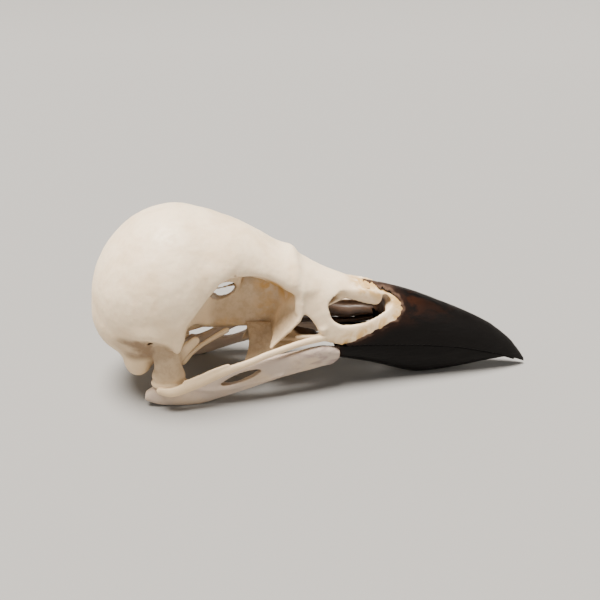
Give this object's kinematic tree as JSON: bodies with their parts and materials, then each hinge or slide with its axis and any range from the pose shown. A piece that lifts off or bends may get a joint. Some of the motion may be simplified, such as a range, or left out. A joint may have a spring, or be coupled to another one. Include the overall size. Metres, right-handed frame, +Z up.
{
  "type": "rook skull",
  "caption": "Rook skull with its lower jaw in place: pale bone with large eye sockets and nostrils, and a stout, downcurved black horny beak.",
  "frame": {"origin": "middle of the skull's footprint on the floor it stands on", "axes": "+X to the beak tip, +Y to the bird's left, +Z up to the crown"},
  "size_m": [0.0914, 0.0308, 0.0367],
  "materials": {
    "skull_bone": "satin",
    "jaw_bone": "satin",
    "beak_horn": "gloss"
  },
  "bodies": {
    "root": {"cranium": "skull_bone", "upper_jaw": "skull_bone", "upper_beak_horn": "beak_horn", "lower_beak_horn": "beak_horn", "mandible_left": "jaw_bone", "mandible_right": "jaw_bone", "quadrate_left": "skull_bone", "quadrate_right": "skull_bone", "palatine_left": "skull_bone", "palatine_right": "skull_bone", "jugal_left": "skull_bone", "jugal_right": "skull_bone", "pterygoid_left": "skull_bone", "pterygoid_right": "skull_bone"}
  },
  "joints": []
}
